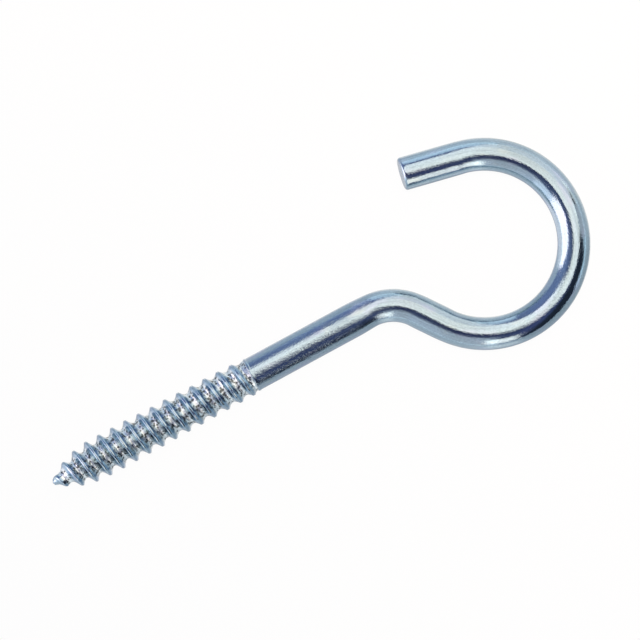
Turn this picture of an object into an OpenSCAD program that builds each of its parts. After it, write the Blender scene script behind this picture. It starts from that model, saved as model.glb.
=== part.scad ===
// Screw hook: one piece of round wire, with a rolled wood thread and a gimlet point at one end,
// a plain shank, a short neck bend, and a large open bowl at the other end.
// It lies flat: the shank runs along X with its shoulder at the origin, the thread towards -X and
// the hook towards +X, and the bends lie in the XY plane. All sizes are in millimetres.

/* [Wire] */
// Diameter of the wire at the shank
wire_d = 5.8; // [4.5:0.05:7]
// How much thinner the wire is drawn from the neck on
hook_thinning = 0.2; // [0.1:0.05:0.6]
// How much thinner still the wire is where it is bent
bend_thinning = 0.06; // [0.04:0.01:0.3]

/* [Thread] */
// Length of the thread from its tip to the shoulder
thread_length = 37.6; // [25:0.1:50]
// Distance from one crest to the next
thread_pitch = 2.49; // [2:0.01:3.5]
// Diameter over the crests behind the point
crest_d = 7.1; // [6:0.1:9]
// Diameter over the crests at the shoulder
crest_end_d = 6.5; // [5.8:0.1:8]
// Diameter at the bottom of the valleys behind the point
root_d = 4.8; // [3.4:0.1:5.4]
// Diameter at the bottom of the valleys at the shoulder
root_end_d = 5.1; // [3.4:0.1:5.4]
// Flat width along each crest
crest_land = 0.4; // [0.1:0.02:0.6]
// Length of the tapered point
point_length = 10; // [5:0.5:16]
// Diameter behind the nose of the tip
tip_d = 1; // [0.5:0.1:2.4]
// Length of the nose of the tip
tip_nose = 0.2; // [0.1:0.05:1]
// Angle round the shank at which the thread starts
thread_start = 12; // [0:1:359]

/* [Shank] */
// Length of the plain shank between the shoulder and the neck bend
shank_length = 22.2; // [8:0.1:60]
// Length over which the wire is drawn thinner before the neck bend
drawn_length = 3; // [0.5:0.1:5]
// Height of the shoulder over the end of the thread
shoulder_step = 0.08; // [0.04:0.01:0.2]
// Height of the ring at the shoulder over the shank
ring_rise = 0.06; // [0.02:0.01:0.2]
// Width of the ring at the shoulder
ring_width = 0.5; // [0.2:0.1:2]
// Length over which the thread runs out at the shoulder
run_out = 0.9; // [0.4:0.1:2]

/* [Hook] */
// Inner radius of the neck bend
neck_inner_r = 6; // [3:0.1:12]
// Straight length between the neck bend and the bowl
neck_straight = 5.3; // [1:0.1:12]
// Inner diameter of the bowl
bowl_inner_d = 24.3; // [16:0.1:45]
// Distance of the bowl's centre from the axis of the shank
bowl_offset = 0.7; // [-2:0.1:2]
// Straight length at the end of the wire
end_length = 10.1; // [3:0.1:14]
// Angle between the straight end and the shank
end_lean = 12.5; // [0:0.5:40]
// Angle by which the cropped end faces upwards
end_slant = 6; // [0:1:10]
// Radius of the rounded edge at the cropped end
end_round = 0.45; // [0.1:0.05:1]

/* [Hidden] */

wire_r = wire_d / 2;
hook_wire_r = (wire_d - hook_thinning) / 2;
neck_r = neck_inner_r + hook_wire_r;
bowl_r = bowl_inner_d / 2 + hook_wire_r;

// The neck turns the wire aside just far enough for the bowl to bring its centre back to bowl_offset
neck_to_bowl = norm([neck_r + bowl_r, neck_straight]);
neck_turn = acos((neck_r + bowl_offset) / neck_to_bowl) - atan(neck_straight / (neck_r + bowl_r));
bowl_turn = neck_turn + 180 - end_lean;

lap = 0.2;           // how far one stretch of the wire runs on inside the next
round_steps = 5;     // facets across the rounded edge of the cropped end
round_turn = 75;     // angle that edge turns through before it runs out straight over the wire
wire_facets = 72;    // facets round the wire
columns = 28;        // columns of the thread in one turn
valley_steps = 7;    // steps across a valley, from one crest to the next
valley_power = 1.7;  // how hollow a valley is
root_power = 2;      // how blunt the point is at the bottom of the valleys
crest_power = 2.7;   // how blunt the point is over the crests
steps = valley_steps + 1;
thread_near = tip_nose - thread_length;

function clamp(v, low, high) = min(high, max(low, v));
function mix(a, b, share) = share <= 0 ? a : share >= 1 ? b : a + (b - a) * share;

// Radius at x of what is near_d wide behind the point and end_d wide at the shoulder: it fills out
// over the point with the given power, and runs out just before the shoulder
function radius_at(x, near_d, end_d, power) = let (
    filled = 1 - pow(1 - clamp((x - thread_near) / point_length, 0, 1), power),
    body_d = mix(end_d, near_d, -x / (thread_length - point_length)))
    mix(mix(tip_d, body_d, filled), wire_d - 2 * shoulder_step, 1 + x / run_out) / 2;
function valley_r(x) = radius_at(x, root_d, root_end_d, root_power);
function crest_r(x) = radius_at(x, crest_d, crest_end_d, crest_power);

// Along one column, step 0 is the near edge of the crest, step 1 its far edge, and the rest the valley
function along(i) = i == 0 ? 0 : mix(crest_land, thread_pitch, (i - 1) / valley_steps);
function height(i) = i == 0 ? 1 : pow(abs(1 - 2 * (i - 1) / valley_steps), valley_power);

// The columns wind round the shank, and what would lie past either end of the thread stays at that end
function thread_x(c, i) = clamp(thread_near + thread_pitch * (c / columns - 1) + along(i), thread_near, lap);
function thread_point(c, i) = let (
    x = thread_x(c, i),
    r = mix(valley_r(x), crest_r(x), height(i)),
    angle = 360 * (c % columns) / columns - thread_start)
    [x, r * cos(angle), r * sin(angle)];

module thread() {
    turns = ceil((thread_length + lap) / thread_pitch) + 2;
    last = turns * columns;
    // A column's last step is the first step of the column one turn on
    function at(c, i) = i < steps ? c * steps + i : (c + columns) * steps;
    function x_at(c, i) = i < steps ? thread_x(c, i) : thread_x(c + columns, 0);
    tip = (last + columns + 1) * steps;
    polyhedron(
        points = [
            for (c = [0 : last + columns], i = [0 : steps - 1]) thread_point(c, i),
            [-thread_length, 0, 0],
        ],
        faces = [
            for (c = [0 : columns - 1]) [tip, at(c, 0), at(c + 1, 0)],
            for (c = [0 : last - 1], i = [0 : steps - 1]) if (x_at(c, i) < x_at(c, i + 1))
                [at(c, i), at(c, i + 1), at(c + 1, i + 1)],
            for (c = [0 : last - 1], i = [0 : steps - 1]) if (x_at(c + 1, i) < x_at(c + 1, i + 1))
                [at(c, i), at(c + 1, i + 1), at(c + 1, i)],
            [for (c = [columns - 1 : -1 : 0]) at(last + c, 0)],
        ]);
}

// The shank with the ring at its shoulder, drawn thinner where the neck bend starts
module shank() {
    rotate([0, 90, 0]) rotate_extrude($fn = wire_facets) polygon([
        [0, 0],
        [wire_r, 0],
        [wire_r + ring_rise, ring_width / 3],
        [wire_r + ring_rise, 2 * ring_width / 3],
        [wire_r, ring_width],
        [wire_r, shank_length - drawn_length],
        [hook_wire_r, shank_length],
        [0, shank_length],
    ]);
}

// Straight wire of the hook from the origin along X
module straight(length) {
    rotate([0, 90, 0]) cylinder(r = hook_wire_r, h = length, $fn = wire_facets);
}

// Wire bent in the XY plane, which leaves the origin along X: side 1 turns it to +Y and side -1 to -Y
module bend(radius, turn, side) {
    lap_turn = lap / radius * 180 / PI;
    translate([0, side * radius, 0])
        rotate([0, 0, (side > 0 ? -90 : 90 - turn) - lap_turn])
            rotate_extrude(angle = turn + 2 * lap_turn, $fn = 2 * wire_facets)
                translate([radius, 0])
                    circle(r = hook_wire_r - bend_thinning / 2, $fn = wire_facets);
}

// Places its children where such a bend ends, facing along the wire
module after_bend(radius, turn, side) {
    translate([radius * sin(turn), side * radius * (1 - cos(turn)), 0])
        rotate([0, 0, side * turn]) children();
}

// What is left of the wire behind the cropped end: a face with a rounded edge, which flares out
// behind it and so only trims the wire there
module crop() {
    face_r = hook_wire_r - end_round;
    edge_r = face_r + end_round * sin(round_turn);
    edge_x = end_length - end_round * (1 - cos(round_turn));
    translate([end_length, 0, 0]) rotate([0, -end_slant, 0]) translate([-end_length, 0, 0])
        rotate([0, 90, 0]) rotate_extrude($fn = wire_facets) polygon([
            [0, -end_length],
            [edge_r + (edge_x + end_length) / tan(round_turn), -end_length],
            for (k = [round_steps : -1 : 0]) let (angle = round_turn * k / round_steps)
                [face_r + end_round * sin(angle), end_length - end_round * (1 - cos(angle))],
            [0, end_length],
        ]);
}

// The straight end of the wire, cropped off
module cropped_end() {
    intersection() {
        straight(2 * end_length);
        crop();
    }
}

module hook() {
    shank();
    translate([shank_length, 0, 0]) {
        bend(neck_r, neck_turn, -1);
        after_bend(neck_r, neck_turn, -1) {
            straight(neck_straight);
            translate([neck_straight, 0, 0]) {
                bend(bowl_r, bowl_turn, 1);
                after_bend(bowl_r, bowl_turn, 1) cropped_end();
            }
        }
    }
}

module screw_hook() {
    color("lightsteelblue") {
        thread();
        hook();
    }
}

screw_hook();
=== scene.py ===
"""Zinc plated screw hook: threaded wire with an open bowl, its finish, and a pale studio round it."""

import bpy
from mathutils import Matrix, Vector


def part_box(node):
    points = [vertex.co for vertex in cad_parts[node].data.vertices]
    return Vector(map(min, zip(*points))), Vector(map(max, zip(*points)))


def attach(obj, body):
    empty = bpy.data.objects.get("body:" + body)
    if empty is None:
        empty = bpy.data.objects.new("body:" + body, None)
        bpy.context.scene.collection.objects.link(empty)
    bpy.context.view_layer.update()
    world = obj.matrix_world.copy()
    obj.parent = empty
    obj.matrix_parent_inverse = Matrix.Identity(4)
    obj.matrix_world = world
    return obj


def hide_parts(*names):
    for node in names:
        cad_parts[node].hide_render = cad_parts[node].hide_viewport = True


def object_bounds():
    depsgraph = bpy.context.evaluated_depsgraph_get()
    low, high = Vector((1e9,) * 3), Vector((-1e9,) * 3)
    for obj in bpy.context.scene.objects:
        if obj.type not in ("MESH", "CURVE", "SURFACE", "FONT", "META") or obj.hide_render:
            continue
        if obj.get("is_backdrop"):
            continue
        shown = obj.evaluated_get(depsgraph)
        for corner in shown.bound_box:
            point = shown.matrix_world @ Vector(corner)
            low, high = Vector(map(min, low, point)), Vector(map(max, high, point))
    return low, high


bl_info = {
    "name": "Screw Hook",
    "version": (1, 0, 0),
    "blender": (4, 5, 0),
    "location": "View3D > Sidebar > Screw Hook",
    "description": "Builds a zinc plated screw hook with its wood thread, and the studio it lies in",
    "category": "Add Mesh",
}

from math import acos, atan, cos, hypot, pi, radians, sin, tan

import bpy
import numpy as np
from bpy.props import FloatProperty, FloatVectorProperty, IntProperty, PointerProperty
from mathutils import Vector

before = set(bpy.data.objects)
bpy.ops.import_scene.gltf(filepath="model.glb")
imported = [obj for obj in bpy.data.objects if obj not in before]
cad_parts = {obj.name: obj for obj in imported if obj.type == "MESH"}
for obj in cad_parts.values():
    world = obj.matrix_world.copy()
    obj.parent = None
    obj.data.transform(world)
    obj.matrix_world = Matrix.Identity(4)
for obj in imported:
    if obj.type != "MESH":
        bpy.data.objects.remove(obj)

NODE = "screw_hook"
SLOT = "zinc_wire"
MM = 0.001

# Powers that shape the thread: how blunt its point is in the valleys and over the crests, and how
# hollow a valley is
ROOT_POWER = 2.0
CREST_POWER = 2.7
VALLEY_POWER = 1.7

# The crests stay this much inside the solid's, and the thread runs out this much thinner than the shank
CREST_INSET = 0.02 * MM
COLLAR_RECESS = 0.16 * MM

# Reach of the crest's seam, and offset and reach of the painted dark reflection, a dark blue line
# beside the edge of a crest
SEAM_REACH = 0.12 * MM
PAINTED_LINE_OFFSET = 0.12 * MM
PAINTED_LINE_REACH = 0.14 * MM

# Strength of that painted dark reflection on the crest's side towards the hook and on its side towards
# the tip
PAINTED_LINE_STRENGTHS = (0.95, 0.7)

# Share of the way from the shoulder back to the point where the seam is gone, and where it is whole
SEAM_SPAN = (2 / 3, 1 / 4)

# Share of the way down into a valley over which it turns dull, the same for the collar as a share
# of the run-out, and how dull the collar gets
VALLEY_SPAN = (0.2424, 0.5455)
COLLAR_SPAN = (-0.24, 0.16)
COLLAR_DULL = 0.85

# Wobble of the crests: height, turns in one pitch along the thread, turns round it, and phase
WOBBLES = ((0.05 * MM, 1 / 3.1, 1, 0.4), (0.03 * MM, 1.7, -2, 2.0))

# Length over which the wire's curvature changes at a bend, and over which the wire gets thinner there
BEND_EASE = 1.2 * MM
THINNING_EASE = 2 * MM

# Steps of the sums along the axis, rings at the shoulder and round the cropped edge, and radii of
# the rings on the cropped face as shares of the face's own
AXIS_STEPS = 20000
SHOULDER_RINGS = 24
EDGE_RINGS = 9
FACE_RINGS = (0.8, 0.55, 0.25)

# The shank's frost sets in here, starts to fade and is gone, counted from the shoulder
FROST_SETS_IN = -0.5 * MM
FROST_FADES = 20 * MM
FROST_ENDS = 30 * MM

# Height of the bumps in the plating, how much stronger they are on the shank, and the valleys' grit
BUMP_HEIGHT = 0.1 * MM
SHANK_GRAIN = 1.2
VALLEY_GRIT = 1.5

FLOOR_CORNERS = 96

# Azimuth across from the room's darkest corner, and the sines of the elevations between which the
# pale horizon turns into the room
FAR_CORNER = 136.5
HORIZON_TOP = (0.02, 0.08)

# Tint of most lamps, and of the cards low on the near side
WARM = (1.0, 0.83, 0.67)
PALE = (1.0, 0.93, 0.87)

# Lamps and cards: name, azimuth, tilt, centre (away, aside, up), size, radiance and tint, with the
# angles in degrees and the lengths in metres
LAMPS = (
    ("softbox_near", 29.5, 30, (0.31, 0.07, 2.221), (2.74, 0.82), 1.95, WARM),
    ("softbox_corner", 29.5, 30, (-0.19, -0.625, 2.51), (0.55, 0.33), 1.4, WARM),
    ("softbox_edge", 29.5, 30, (-0.083, -0.235, 2.448), (0.23, 0.085), 1.6, WARM),
    ("softbox", 29.5, 30, (1.14, 0.07, 1.742), (2.74, 1.096), 1.75, WARM),
    ("back_card", 29.5, 30, (2.757, 0.07, 0.808), (2.74, 2.64), 1.3, (1.0, 0.88, 0.77)),
    ("back_card_left", 68.5, 90, (3.0, 0, 0.47), (1.6, 0.9), 0.9, (0.95, 1.0, 0.95)),
    ("back_card_left_top", 73.25, 90, (3.0, 0, 1.22), (1.085, 0.6), 0.8, (0.93, 1.0, 0.95)),
    ("back_card_right", 2.5, 90, (3.0, 0, 0.41), (0.74, 0.78), 1.1, (1.0, 0.9, 0.8)),
    ("side_card", -14, 90, (3.0, 0, 1.42), (1.0, 2.8), 0.75, (1.0, 0.93, 0.93)),
    ("corner_card", -38, 90, (3.0, 0, 0.335), (1.55, 0.63), 0.9, (0.85, 0.95, 1.0)),
    ("corner_card_high", -27, 90, (3.0, 0, 0.98), (0.37, 0.65), 0.65, (0.9, 0.95, 1.0)),
    ("window", 211.5, 90, (1.6, -4.16, 1.788), (6.7, 3.536), 2.75, (1.0, 0.76, 0.67)),
    ("near_card", 241.5, 90, (2.4, -2.79, 1.7), (1.82, 3.36), 1.2, PALE),
    ("low_card", 241.5, 90, (2.4, -0.75, 1.7), (2.26, 3.36), 0.75, PALE),
    ("low_card_top", 241.5, 90, (2.4, -1.66, 3.98), (4.08, 1.2), 0.3, PALE),
    ("strip_lamp", 253.5, 90, (2.4, 0, 1.28), (0.8, 1.76), 2.0, (1.0, 0.82, 0.66)),
)


def length(name, description, mm):
    """A length in metres whose default is given in millimetres."""
    return FloatProperty(
        name=name, description=description, default=mm * MM, min=0, precision=5, unit="LENGTH")


def angle(name, description, degrees):
    """An angle whose default is given in degrees."""
    return FloatProperty(
        name=name, description=description, default=radians(degrees), subtype="ANGLE")


def share(name, description, value):
    """A number between 0 and 1."""
    return FloatProperty(
        name=name, description=description, default=value, min=0, max=1, subtype="FACTOR")


def colour(name, description, rgb):
    """A linear colour."""
    return FloatVectorProperty(
        name=name, description=description, default=rgb, size=3, min=0, max=1, subtype="COLOR")


class HookSizes(bpy.types.PropertyGroup):
    """Sizes of the wire, its thread and its bends."""

    thread_length: length("Thread Length", "From the tip to the shoulder", 37.6)
    pitch: length("Pitch", "From one crest to the next", 2.49)
    crest: length("Crest Diameter", "Over the crests behind the point", 7.1)
    crest_end: length("Crest Diameter at Shoulder", "Over the crests where the thread ends", 6.5)
    root: length("Valley Diameter", "At the bottom of the valleys behind the point", 4.8)
    root_end: length("Valley Diameter at Shoulder", "At the bottom of the last valleys", 5.1)
    land: length("Crest Land", "Flat width along each crest", 0.4)
    crown: length("Crest Crown", "How much lower the crest is at the edges of its land", 0.05)
    seam: length("Crest Seam", "Depth of the seam that rolling leaves along the last crests", 0.06)
    point: length("Point Length", "Length of the tapered point", 10.0)
    tip: length("Tip Diameter", "Diameter behind the nose of the tip", 1.0)
    nose: length("Tip Nose", "Length of the nose of the tip", 0.2)
    start: angle("Thread Start", "Angle round the shank at which the thread starts", 12)
    run_out: length("Run-out", "Length over which the thread runs out at the shoulder", 0.9)
    shank: length("Shank Diameter", "Diameter of the plain wire", 5.8)
    shank_length: length("Shank Length", "Plain wire between the shoulder and the neck bend", 22.2)
    ring: length("Shoulder Ring", "Height of the ring at the shoulder over the shank", 0.06)
    ring_width: length("Shoulder Ring Width", "Width of the ring at the shoulder", 0.5)
    drawn: length("Drawn Length", "Length over which the wire gets thinner before the neck bend", 3.0)
    hook: length("Hook Diameter", "Diameter of the wire from the neck on", 5.6)
    bent: length("Bend Thinning", "How much thinner the wire is where it is bent", 0.09)
    neck: length("Neck Radius", "Inner radius of the neck bend", 6.0)
    neck_straight: length("Neck Straight", "Straight wire between the neck bend and the bowl", 5.3)
    bowl: length("Bowl Diameter", "Inner diameter of the bowl", 24.3)
    bowl_offset: length("Bowl Offset", "Distance of the bowl's centre from the shank's axis", 0.7)
    end_length: length("End Length", "Straight wire behind the bowl", 10.1)
    end_lean: angle("End Lean", "Angle between the straight end and the shank", 12.5)
    end_slant: angle("End Slant", "Angle by which the cropped end faces upwards", 6)
    end_round: length("End Edge", "Radius of the rounded edge at the cropped end", 0.45)
    thread_row: length("Thread Row", "Distance between two rings of the mesh in the thread", 0.055)
    wire_row: length("Wire Row", "Distance between two rings of the mesh on the plain wire", 0.4)
    columns: IntProperty(name="Columns", description="Points round the wire", default=96, min=24)


class HookFinish(bpy.types.PropertyGroup):
    """Colours and gloss of the zinc plating, and the colour of the painted dark reflection beside the
    crests.
    """

    zinc: colour("Zinc", "Main colour of the plating", (0.37, 0.51, 0.60))
    lilac: colour("Lilac Tint", "Colour of the faint lilac patches", (0.40, 0.48, 0.62))
    straw: colour("Straw Tint", "Colour of the faint yellow-green patches", (0.44, 0.54, 0.55))
    pit: colour("Pit Colour", "Colour of the fine pits and drawing lines", (0.21, 0.29, 0.35))
    mottle: share("Mottle", "How much the pits and lines show", 0.4)
    valley: colour("Valley Colour", "Dull grey in the valleys of the thread", (0.66, 0.77, 0.81))
    speck: colour("Speck Colour", "Dark specks in the valleys", (0.12, 0.14, 0.145))
    # The flank colour is a painted dark reflection, laid as a dark blue line beside each crest
    flank: colour("Flank Colour", "Blue beside the crests", (0.19, 0.34, 0.50))
    lilac_strength: share("Lilac Strength", "How strong the lilac patches get", 0.7)
    straw_strength: share("Straw Strength", "How strong the yellow-green patches get", 0.6)
    clusters: share("Clusters", "How much the dark specks gather in clusters", 0.9)
    smoothest: share("Least Roughness", "Roughness of the plain wire where it is smoothest", 0.06)
    roughest: share("Most Roughness", "Roughness of the plain wire where it is roughest", 0.16)
    dull: share("Valley Roughness", "Roughness in the valleys", 0.29)
    line_dull: share("Line Dullness", "How far the blue line is towards the valleys' roughness", 0.5)
    frost: share("Shank Frost", "How much rougher the shank is than the hook", 0.035)
    grain: share("Grain", "Strength of the bumps in the plating", 0.3)


class HookStage(bpy.types.PropertyGroup):
    """Floor, camera and light."""

    floor_radius: length("Floor Radius", "Radius of the round floor", 3000)
    view_centre: FloatVectorProperty(
        name="View Centre", description="Point of the hook's plane in the middle of the picture",
        default=(14.497 * MM, 2.626 * MM, 0), size=3, precision=5, subtype="TRANSLATION")
    view_turn: angle("View Turn", "Turn of the camera about the vertical", -28.511)
    view_width: length("View Width", "Width of the picture in the hook's plane", 106.667)
    camera_height: length("Camera Height", "Height of the camera over the hook's plane", 4000)
    whiteness: share("Floor Whiteness", "How little the floor shows its shadows", 0.95)
    paper: colour("Paper", "Colour of the floor under its white glow", (0.58, 0.76, 0.96))
    sheen: share("Paper Sheen", "How much the paper mirrors the lamps", 0.8)
    sheen_roughness: share("Sheen Roughness", "How much that mirror image is blurred", 0.25)
    mirrored: share("Mirrored Whiteness", "How little the floor shows its shadows in the metal", 0.5)
    dark: colour("Dark Corner", "Colour of the room's darkest corner", (0.03, 0.037, 0.055))
    shade: colour("Dark Wall", "Colour of the room beside its darkest corner", (0.10, 0.12, 0.25))
    dusk: colour("Ceiling", "Colour of the room between the lamps", (0.05, 0.055, 0.12))
    dusk_far: colour("Far Corner", "Colour of the room across from the dark corner", (0.30, 0.35, 0.58))
    horizon: colour("Horizon", "Colour of the room close to the floor", (0.85, 0.92, 1.0))


def blend(a, b, t):
    """a where t is 0 and b where t is 1, with t held between them."""
    t = np.clip(t, 0, 1)
    return a + (b - a) * t


def step(value, low, high):
    """S-shaped step from 0 at low to 1 at high: 3 t squared less 2 t cubed, for the way t between."""
    t = np.clip((value - low) / (high - low), 0, 1)
    return t * t * (3 - 2 * t)


def running_sum(values, stride):
    """Sum of the values up to each one, where each stride counts the mean of its two ends."""
    return np.concatenate([[0], np.cumsum((values[1:] + values[:-1]) / 2 * stride)])


def wire_stretches(sizes):
    """Length and curvature of each stretch of the wire behind the thread, in their order.

    The neck turns the wire aside just far enough for the bowl to bring its centre back to its offset.
    """
    wire = sizes.hook / 2
    neck, bowl = sizes.neck + wire, sizes.bowl / 2 + wire
    reach = hypot(neck + bowl, sizes.neck_straight)
    neck_turn = acos((neck + sizes.bowl_offset) / reach) - atan(sizes.neck_straight / (neck + bowl))
    bowl_turn = neck_turn + pi - sizes.end_lean
    return (
        (sizes.shank_length, 0), (neck * neck_turn, -1 / neck), (sizes.neck_straight, 0),
        (bowl * bowl_turn, 1 / bowl), (sizes.end_length, 0),
    )


def by_stretch(stretches, along, ease, values):
    """The value of the stretch that each distance lies in, with S-shaped steps between stretches."""
    edges = np.concatenate([[0], np.cumsum([stretch for stretch, _ in stretches])])
    steps = [step(along, edge - ease / 2, edge + ease / 2) for edge in edges]
    return sum(value * (first - last) for value, first, last in zip(values, steps, steps[1:]))


def wire_axis(sizes, along):
    """Centre and heading of the wire at each distance behind the shoulder, negative in the thread.

    The heading is the running sum of the curvature, and the centre is the running sum of the
    heading's cosine and sine, both from the shoulder, where the wire leaves along X.
    """
    stretches = wire_stretches(sizes)
    fine = np.linspace(0, sum(stretch for stretch, _ in stretches), AXIS_STEPS + 1)
    curvature = by_stretch(stretches, fine, BEND_EASE, [bend for _, bend in stretches])
    heading = running_sum(curvature, fine[1])
    x, y = running_sum(np.cos(heading), fine[1]), running_sum(np.sin(heading), fine[1])
    centre_x = np.where(along < 0, along, np.interp(along, fine, x))
    return centre_x, np.interp(along, fine, y), np.interp(along, fine, heading)


def thread_shape(sizes, x, turn):
    """Radius, dull share and painted dark reflection beside the crests of the thread, at each x and
    angle.

    The distance from the nearest crest, counted along X, winds back by one pitch a turn. Valleys and
    crests each have a radius that fills out over the point by a power and then runs evenly to the
    shoulder, and the surface rises from the one to the other as a power of the distance from the
    middle of the valley. The crests wobble by a sum of sines, and a narrow seam lies along them near
    the shoulder. The valleys are dull, and so is the collar in front of the shoulder. The seam and
    the painted dark reflection, a dark blue line beside each crest, both fall off as e to the minus
    square of the distance over their reach.
    """
    near = sizes.nose - sizes.thread_length
    body = -x / (sizes.thread_length - sizes.point)
    grown = np.clip((x - near) / sizes.point, 0, 1)
    ends = 1 + x / sizes.run_out
    collar = sizes.shank - COLLAR_RECESS
    wobble = sum(
        high * np.sin(2 * pi * (x / sizes.pitch * lengthwise + round_it * turn) + phase)
        for high, lengthwise, round_it, phase in WOBBLES)

    def radius(first, last, power):
        filled = blend(sizes.tip, blend(last, first, body), 1 - (1 - grown) ** power)
        return blend(filled, collar, ends) / 2

    valley = radius(sizes.root, sizes.root_end, ROOT_POWER)
    crest = radius(sizes.crest, sizes.crest_end, CREST_POWER) - CREST_INSET
    crest = crest + wobble * step(grown, 0, 1) * (ends < 0) / 2
    crest_middle = near - sizes.pitch + sizes.land / 2
    phase = (x - crest_middle) / sizes.pitch - turn - sizes.start / (2 * pi)
    aside = ((phase + 0.5) % 1 - 0.5) * sizes.pitch
    away = np.abs(aside)
    flank = np.clip((away - sizes.land / 2) / (sizes.pitch / 2 - sizes.land / 2), 0, 1)
    crown = sizes.crown * np.minimum(2 * away / sizes.land, 1) ** 2
    rise = (1 - flank) ** VALLEY_POWER - crown / (crest - valley)
    seam = sizes.seam * step(body, *SEAM_SPAN) * (ends < 0) * np.exp(-(away / SEAM_REACH) ** 2)
    lean = blend(valley, crest, rise) - seam
    # The thread's finish and its painted dark reflection fade in over the first sixth of the point
    # and out over half the run-out
    threaded = step(grown, 0, 1 / 6) * step(ends, 1 / 2, 0)
    dull = np.maximum(step(flank, *VALLEY_SPAN) * threaded, COLLAR_DULL * step(ends, *COLLAR_SPAN))
    # Mask of the painted dark reflection: a dark blue line beside each crest, stronger on its side
    # towards the hook
    line = np.exp(-((away - sizes.land / 2 - PAINTED_LINE_OFFSET) / PAINTED_LINE_REACH) ** 2) * threaded
    return lean, dull, line * np.where(aside > 0, *PAINTED_LINE_STRENGTHS)


def wire_radius(sizes, along):
    """Radius of the plain wire at each distance behind the shoulder.

    A low ring rises at the shoulder and falls over its last third, the wire is drawn thinner before
    the neck bend, and it is a little thinner still in the bends.
    """
    stretches = wire_stretches(sizes)
    drawn = step(along, sizes.shank_length - sizes.drawn, sizes.shank_length)
    thirds = along / sizes.ring_width * 3
    ring = step(thirds, -0.4, 0.6) * step(thirds, 3, 2)
    bent = by_stretch(stretches, along, THINNING_EASE, [bend != 0 for _, bend in stretches])
    return blend(sizes.shank, sizes.hook, drawn) / 2 + sizes.ring * ring - sizes.bent / 2 * bent


def wire_surface(sizes):
    """Points, straight-wire points, dull share and painted dark reflection of the wire, as grids of
    ring by column.

    Each ring stands square to the axis: its points are the centre, plus the radius times the cosine
    of the angle along the side direction, plus the radius times its sine upwards. The rings close to
    the cropped end lean with its face, by the height of each point times the tangent of the slant.
    """
    turns = np.arange(sizes.columns) / sizes.columns
    total = sum(stretch for stretch, _ in wire_stretches(sizes))
    thread_rows = int(sizes.thread_length / sizes.thread_row)
    thread = np.linspace(sizes.nose - sizes.thread_length, 0, thread_rows, endpoint=False)
    shoulder = np.linspace(0, 3 * sizes.ring_width, SHOULDER_RINGS, endpoint=False)
    plain = np.linspace(shoulder[-1] + sizes.wire_row, total - 2 * sizes.end_round,
                        int(total / sizes.wire_row))
    edge = np.linspace(0, pi / 2, EDGE_RINGS)
    edge_along = total - sizes.end_round * (1 - np.sin(edge))
    face = np.array(FACE_RINGS)

    along = np.concatenate([thread, shoulder, plain, edge_along, np.full(len(face), total)])
    along, turn = np.meshgrid(along, turns, indexing="ij")
    rolled, dull, line = thread_shape(sizes, np.minimum(along, 0), turn)
    radius = np.where(along < 0, rolled, wire_radius(sizes, along))
    edge_from = len(thread) + len(shoulder) + len(plain)
    face_from = edge_from + len(edge)
    radius[edge_from:face_from] -= sizes.end_round * (1 - np.cos(edge))[:, None]
    radius[face_from:] = radius[face_from - 1] * face[:, None]

    side, up = radius * np.cos(2 * pi * turn), radius * np.sin(2 * pi * turn)
    slant = step(along, total - 2 * sizes.hook, total) * tan(sizes.end_slant)
    placed = along - up * slant
    centre_x, centre_y, heading = wire_axis(sizes, np.minimum(placed, total))
    over = np.maximum(placed - total, 0)
    x = centre_x + over * np.cos(heading) - side * np.sin(heading)
    y = centre_y + over * np.sin(heading) + side * np.cos(heading)
    straight = np.stack([along, side, up], axis=-1)
    return np.stack([x, y, up], axis=-1), straight, dull * (along < 0), line * (along < 0)


def closed_sleeve(rings, columns):
    """Faces of a sleeve of that many rings and columns, closed at both ends by a fan to one point."""
    ring, column = np.meshgrid(np.arange(rings - 1), np.arange(columns), indexing="ij")
    beside = (column + 1) % columns
    walls = np.stack(
        [ring * columns + column, ring * columns + beside,
         (ring + 1) * columns + beside, (ring + 1) * columns + column], axis=-1).reshape(-1, 4)
    first, last = rings * columns, rings * columns + 1
    around = np.arange(columns)
    beyond = (around + 1) % columns
    end = (rings - 1) * columns
    tip = np.stack([np.full(columns, first), beyond, around], axis=-1)
    back = np.stack([np.full(columns, last), end + around, end + beyond], axis=-1)
    return walls[:, ::-1].tolist() + tip[:, ::-1].tolist() + back[:, ::-1].tolist()


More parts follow.
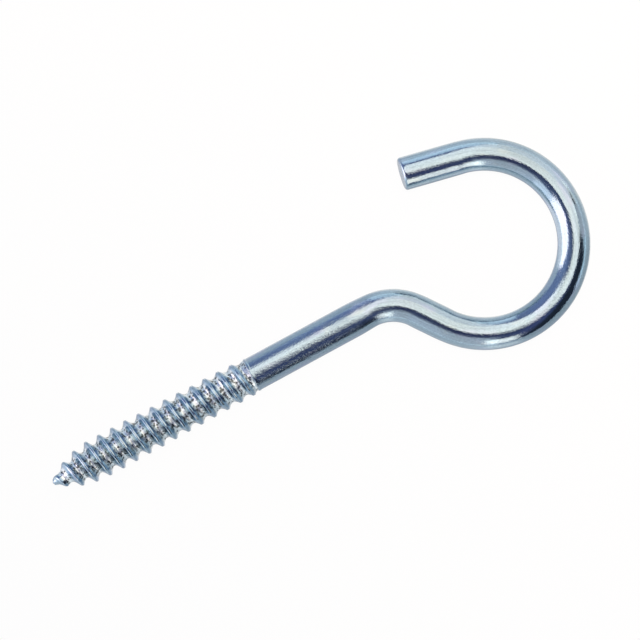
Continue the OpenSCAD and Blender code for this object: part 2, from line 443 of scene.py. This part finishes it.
class Shading:
    """Short ways to fill the node tree of a material or a world.

    Wherever a value is asked for, it is a number, a vector, a colour or the output of another node.
    """

    def __init__(self, owner):
        owner.use_nodes = True
        self.nodes, self.links = owner.node_tree.nodes, owner.node_tree.links

    def feed(self, socket, value):
        """Links the value to the socket if it is an output, or else sets the socket to it."""
        if isinstance(value, bpy.types.NodeSocket):
            self.links.new(value, socket)
        else:
            socket.default_value = (*value, 1) if socket.type == "RGBA" else value

    def add(self, kind, inputs, **settings):
        """A new node with those settings, its inputs fed by name or by number."""
        made = self.nodes.new(kind)
        for name, value in settings.items():
            setattr(made, name, value)
        for key, value in inputs.items():
            self.feed(made.inputs[key], value)
        return made

    def sums(self, operation, a, b):
        """The result of that operation on two values."""
        return self.add("ShaderNodeMath", {0: a, 1: b}, operation=operation).outputs["Value"]

    def mixed(self, factor, a, b):
        """Colour a where the factor is 0 and colour b where it is 1."""
        return self.add("ShaderNodeMix", {"Factor": factor, 6: a, 7: b}, data_type="RGBA").outputs[2]

    def ranged(self, value, low, high, to_low=0.0, to_high=1.0, interpolation="SMOOTHSTEP"):
        """The value brought from one range to another, and held inside it."""
        ends = {"Value": value, "From Min": low, "From Max": high, "To Min": to_low, "To Max": to_high}
        return self.add("ShaderNodeMapRange", ends, interpolation_type=interpolation).outputs["Result"]

    def scaled(self, source, scale):
        """A position stretched by that scale, which counts in cells a metre."""
        return self.add("ShaderNodeMapping", {"Vector": source, "Scale": scale}).outputs["Vector"]

    def noise(self, source, scale, detail, rough=0.55):
        """Soft noise over a position."""
        values = {"Vector": self.scaled(source, scale), "Scale": 1}
        values.update({"Detail": detail, "Roughness": rough})
        return self.add("ShaderNodeTexNoise", values).outputs["Fac"]

    def spots(self, source, scale):
        """Distance from the middle of the nearest of many scattered spots."""
        values = {"Vector": self.scaled(source, scale), "Scale": 1}
        return self.add("ShaderNodeTexVoronoi", values).outputs["Distance"]


def zinc_plating(finish):
    """Bright zinc on drawn wire: lines and small pits along the wire, and dull speckled valleys.

    All patterns lie on the straight wire, before it is bent. Lilac and straw patches tint the plain
    wire, a painted dark reflection lies as a dark blue line beside each crest, and the shank is a
    little rougher than the hook.
    """
    material = bpy.data.materials.new(SLOT)
    tree = Shading(material)
    sums, noise, ranged, mixed = tree.sums, tree.noise, tree.ranged, tree.mixed

    wire = tree.add("ShaderNodeAttribute", {}, attribute_name="straight_wire").outputs["Vector"]
    valley = tree.add("ShaderNodeAttribute", {}, attribute_name="valley").outputs["Fac"]
    # The flank attribute is the mask of the painted dark reflection beside each crest; it also makes
    # that line rougher
    flank = tree.add("ShaderNodeAttribute", {}, attribute_name="flank").outputs["Fac"]
    streaks = noise(wire, (700, 2600, 2600), 3)
    lilac_patches = noise(wire, (160, 420, 420), 2)
    straw_patches = noise(wire, (230, 520, 520), 2)
    lines = noise(wire, (90, 2400, 2400), 2)
    pits = noise(wire, (3200, 5600, 5600), 2)
    grit = noise(wire, (1850, 1850, 1850), 3, 0.6)
    clusters = noise(wire, (1100, 1100, 1100), 1)
    specks = sums("ADD", tree.spots(wire, (1850, 1850, 1850)),
                  sums("MULTIPLY", sums("SUBTRACT", 0.5, clusters), finish.clusters))

    bright = mixed(ranged(pits, 0.35, 0.7, 0, finish.mottle), finish.zinc, finish.pit)
    bright = mixed(ranged(lines, 0.4, 0.75, 0, finish.mottle), bright, finish.pit)
    bright = mixed(ranged(lilac_patches, 0.5, 0.72, 0, finish.lilac_strength), bright, finish.lilac)
    bright = mixed(ranged(straw_patches, 0.56, 0.78, 0, finish.straw_strength), bright, finish.straw)
    speckled = mixed(ranged(specks, 0.28, 0.52, 1, 0), finish.valley, finish.speck)
    # The painted dark reflection is mixed over the plating's colour here
    plating = mixed(flank, mixed(valley, bright, speckled), finish.flank)

    x = tree.add("ShaderNodeSeparateXYZ", {"Vector": wire}).outputs["X"]
    frost = sums("MULTIPLY", ranged(x, FROST_SETS_IN, 0), ranged(x, FROST_FADES, FROST_ENDS, 1, 0))
    gloss = sums("ADD", ranged(streaks, 0.3, 0.75, finish.smoothest, finish.roughest),
                 sums("MULTIPLY", frost, finish.frost))
    matte = sums("MAXIMUM", valley, sums("MULTIPLY", flank, finish.line_dull))
    rough = sums("ADD", sums("MULTIPLY", gloss, sums("SUBTRACT", 1, matte)),
                 sums("MULTIPLY", matte, finish.dull))

    relief = sums("ADD", sums("MULTIPLY", streaks, 0.6), sums("MULTIPLY", pits, 0.4))
    relief = sums("MULTIPLY", relief, sums("ADD", sums("MULTIPLY", frost, SHANK_GRAIN), 1))
    relief = sums("ADD", relief, sums("MULTIPLY", sums("MULTIPLY", grit, valley), VALLEY_GRIT))
    bumps = {"Strength": finish.grain, "Distance": BUMP_HEIGHT, "Height": relief}

    shader = tree.nodes["Principled BSDF"]
    for name, value in (("Metallic", 1), ("Base Color", plating), ("Roughness", rough),
                        ("Normal", tree.add("ShaderNodeBump", bumps).outputs["Normal"])):
        tree.feed(shader.inputs[name], value)
    return material


class SCREWHOOK_OT_wire(bpy.types.Operator):
    """Build the threaded and bent wire in bright zinc"""

    bl_idname = "screwhook.wire"
    bl_label = "Screw Hook"

    def execute(self, context):
        sizes = context.scene.hook_sizes
        points, straight, dull, line = wire_surface(sizes)
        rings, columns = dull.shape
        tip = [[-sizes.thread_length, 0, 0]]
        middle = [points[-1].mean(axis=0).tolist()]
        mesh = bpy.data.meshes.new("screw_hook_wire")
        mesh.from_pydata(
            points.reshape(-1, 3).tolist() + tip + middle, [], closed_sleeve(rings, columns))
        mesh.attributes.new("straight_wire", "FLOAT_VECTOR", "POINT").data.foreach_set(
            "vector", np.concatenate([straight.ravel(), tip[0], straight[-1].mean(axis=0)]))
        # The flank attribute carries the mask of the painted dark reflection beside each crest
        for name, values in (("valley", dull), ("flank", line)):
            mesh.attributes.new(name, "FLOAT", "POINT").data.foreach_set(
                "value", np.concatenate([values.ravel(), [0, 0]]))
        mesh.shade_smooth()
        if mesh.validate():
            raise RuntimeError("the wire's mesh has faces that are not valid")
        mesh.materials.append(zinc_plating(context.scene.hook_finish))
        piece = bpy.data.objects.new("screw_hook_wire", mesh)
        context.scene.collection.objects.link(piece)
        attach(piece, "root")
        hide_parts(NODE)
        return {"FINISHED"}


def compass(azimuth, elevation):
    """Unit vector towards that azimuth, counted from X to Y, and elevation, both in degrees."""
    a, e = radians(azimuth), radians(elevation)
    return Vector((cos(e) * cos(a), cos(e) * sin(a), sin(e)))


def add_lamp(name, azimuth, tilt, centre, size, radiance, tint):
    """Rectangular lamp towards that azimuth, tilted from facing down until it looks at the hook.

    Its centre is given as the distance away, the distance aside and the height, and its power is pi
    times its area times its radiance.
    """
    away, aside, up = centre
    lamp = bpy.data.lights.new(name, "AREA")
    lamp.shape = "RECTANGLE"
    lamp.size, lamp.size_y = size
    lamp.energy = pi * size[0] * size[1] * radiance
    lamp.color = tint
    box = bpy.data.objects.new(name, lamp)
    box.location = compass(azimuth, 0) * away + compass(azimuth + 90, 0) * aside + Vector((0, 0, up))
    box.rotation_euler = (radians(tilt), 0, radians(azimuth + 90))
    box.visible_camera = False
    bpy.context.scene.collection.objects.link(box)


def pale_floor(stage):
    """White floor: its glow hides most shadows from the camera, and half of them from the metal.

    Under the glow lies pale paper, which mirrors the lamps softly.
    """
    material = bpy.data.materials.new("pale_floor")
    tree = Shading(material)
    tree.nodes.clear()
    rays = tree.add("ShaderNodeLightPath", {}).outputs
    metal_or_glass = tree.sums("MAXIMUM", rays["Is Glossy Ray"], rays["Is Transmission Ray"])
    glow = tree.sums("ADD", tree.sums("MULTIPLY", rays["Is Camera Ray"], stage.whiteness),
                     tree.sums("MULTIPLY", metal_or_glass, stage.mirrored))
    matte = tree.add("ShaderNodeBsdfDiffuse", {"Color": stage.paper})
    sheen = tree.add("ShaderNodeBsdfAnisotropic", {"Roughness": stage.sheen_roughness})
    white = tree.add("ShaderNodeEmission", {})
    paper = tree.add("ShaderNodeMixShader", {0: stage.sheen, 1: matte.outputs[0], 2: sheen.outputs[0]})
    mix = tree.add("ShaderNodeMixShader", {0: glow, 1: paper.outputs[0], 2: white.outputs[0]})
    tree.add("ShaderNodeOutputMaterial", {"Surface": mix.outputs[0]})
    return material


def studio_room(stage):
    """Room round the lamps: dark on one side, dusky blue across from it, pale close to the floor."""
    world = bpy.data.worlds.new("studio_room")
    bpy.context.scene.world = world
    tree = Shading(world)
    towards = tree.add("ShaderNodeTexCoord", {}).outputs["Generated"]

    def facing(direction):
        """Cosine of the angle between the ray and that direction."""
        dot = tree.add("ShaderNodeVectorMath", {0: towards, 1: direction}, operation="DOT_PRODUCT")
        return dot.outputs["Value"]

    across = tree.ranged(facing(compass(FAR_CORNER, 0)), -1, 1, interpolation="LINEAR")
    ramp = tree.add("ShaderNodeValToRGB", {"Fac": across})
    stops = ((0.17, stage.dark), (0.25, stage.shade), (0.5, stage.dusk), (0.85, stage.dusk_far))
    for _ in stops[2:]:
        ramp.color_ramp.elements.new(0.5)
    for element, (position, tone) in zip(ramp.color_ramp.elements, stops):
        element.position = position
        element.color = (*tone, 1)
    over_floor = tree.ranged(facing((0, 0, 1)), *HORIZON_TOP, interpolation="LINEAR")
    room = tree.mixed(over_floor, stage.horizon, ramp.outputs["Color"])
    tree.feed(tree.nodes["Background"].inputs["Color"], room)


class SCREWHOOK_OT_stage(bpy.types.Operator):
    """Lay the pale floor and set up the camera, the lamps and the room"""

    bl_idname = "screwhook.stage"
    bl_label = "Studio"

    def execute(self, context):
        stage = context.scene.hook_stage
        low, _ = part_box(NODE)
        around = np.linspace(0, 2 * pi, FLOOR_CORNERS, endpoint=False)
        rim = stage.floor_radius * np.stack([np.cos(around), np.sin(around), 0 * around], axis=-1)
        mesh = bpy.data.meshes.new("floor")
        mesh.from_pydata((rim + [0, 0, low.z]).tolist(), [], [list(range(len(rim)))])
        mesh.materials.append(pale_floor(stage))
        floor = bpy.data.objects.new("floor", mesh)
        context.scene.collection.objects.link(floor)
        floor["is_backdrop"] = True

        camera = bpy.data.cameras.new("camera")
        camera.sensor_width = 36
        camera.lens = camera.sensor_width * stage.camera_height / stage.view_width
        camera.clip_start = 0.01
        view = bpy.data.objects.new("camera", camera)
        view.location = Vector(stage.view_centre) + Vector((0, 0, stage.camera_height))
        view.rotation_euler = (0, 0, stage.view_turn)
        context.scene.collection.objects.link(view)
        context.scene.camera = view

        for lamp in LAMPS:
            add_lamp(*lamp)
        studio_room(stage)
        context.scene.view_settings.view_transform = "Standard"
        return {"FINISHED"}


class VIEW3D_PT_screw_hook(bpy.types.Panel):
    """Screw hook tools in the sidebar"""

    bl_label = "Screw Hook"
    bl_space_type = "VIEW_3D"
    bl_region_type = "UI"
    bl_category = "Screw Hook"

    def draw(self, context):
        for operator, group in (("screwhook.wire", "hook_sizes"), ("screwhook.wire", "hook_finish"),
                                ("screwhook.stage", "hook_stage")):
            box = self.layout.box()
            box.operator(operator)
            settings = getattr(context.scene, group)
            for name in settings.bl_rna.properties.keys():
                if name not in {"rna_type", "name"}:
                    box.prop(settings, name)


GROUPS = {"hook_sizes": HookSizes, "hook_finish": HookFinish, "hook_stage": HookStage}
OTHERS = (SCREWHOOK_OT_wire, SCREWHOOK_OT_stage, VIEW3D_PT_screw_hook)


def register():
    for made in (*GROUPS.values(), *OTHERS):
        bpy.utils.register_class(made)
    for name, group in GROUPS.items():
        setattr(bpy.types.Scene, name, PointerProperty(type=group))


def unregister():
    for name in GROUPS:
        delattr(bpy.types.Scene, name)
    for made in reversed((*GROUPS.values(), *OTHERS)):
        bpy.utils.unregister_class(made)


def plain(box):
    """The corners of a box as plain lists of numbers."""
    return [[float(value) for value in corner] for corner in box]


def main():
    register()
    cad_box = plain(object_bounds())
    bpy.ops.screwhook.wire()
    bpy.ops.screwhook.stage()
    {"cad": cad_box, "visual": plain(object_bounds())}


if __name__ == "__main__":
    main()
